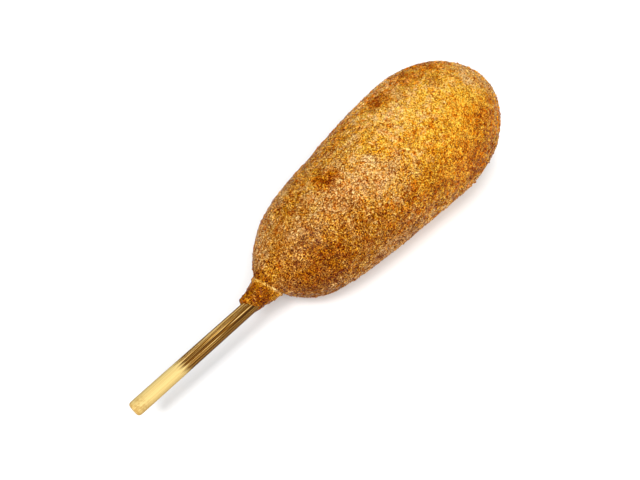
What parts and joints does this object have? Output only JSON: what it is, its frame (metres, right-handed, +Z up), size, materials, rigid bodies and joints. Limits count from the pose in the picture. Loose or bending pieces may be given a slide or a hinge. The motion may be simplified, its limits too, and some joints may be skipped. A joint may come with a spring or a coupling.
{
  "type": "corn dog",
  "caption": "Corn dog: a club-shaped portion of fried cornmeal batter on a round wooden stick, lying on its side.",
  "frame": {"origin": "on the surface it lies on, under the middle of its box", "axes": "+X from the stick's free end to the food's tip, +Z up, +Y to the left seen from the stick's end"},
  "size_m": [0.1546, 0.0458, 0.0456],
  "materials": {
    "cooked_batter": "fine rough golden-brown fried crust",
    "stick_wood": "bare pale wood, browned by frying near the food"
  },
  "bodies": {
    "root": {"batter": "cooked_batter", "stick": "stick_wood"}
  },
  "joints": []
}
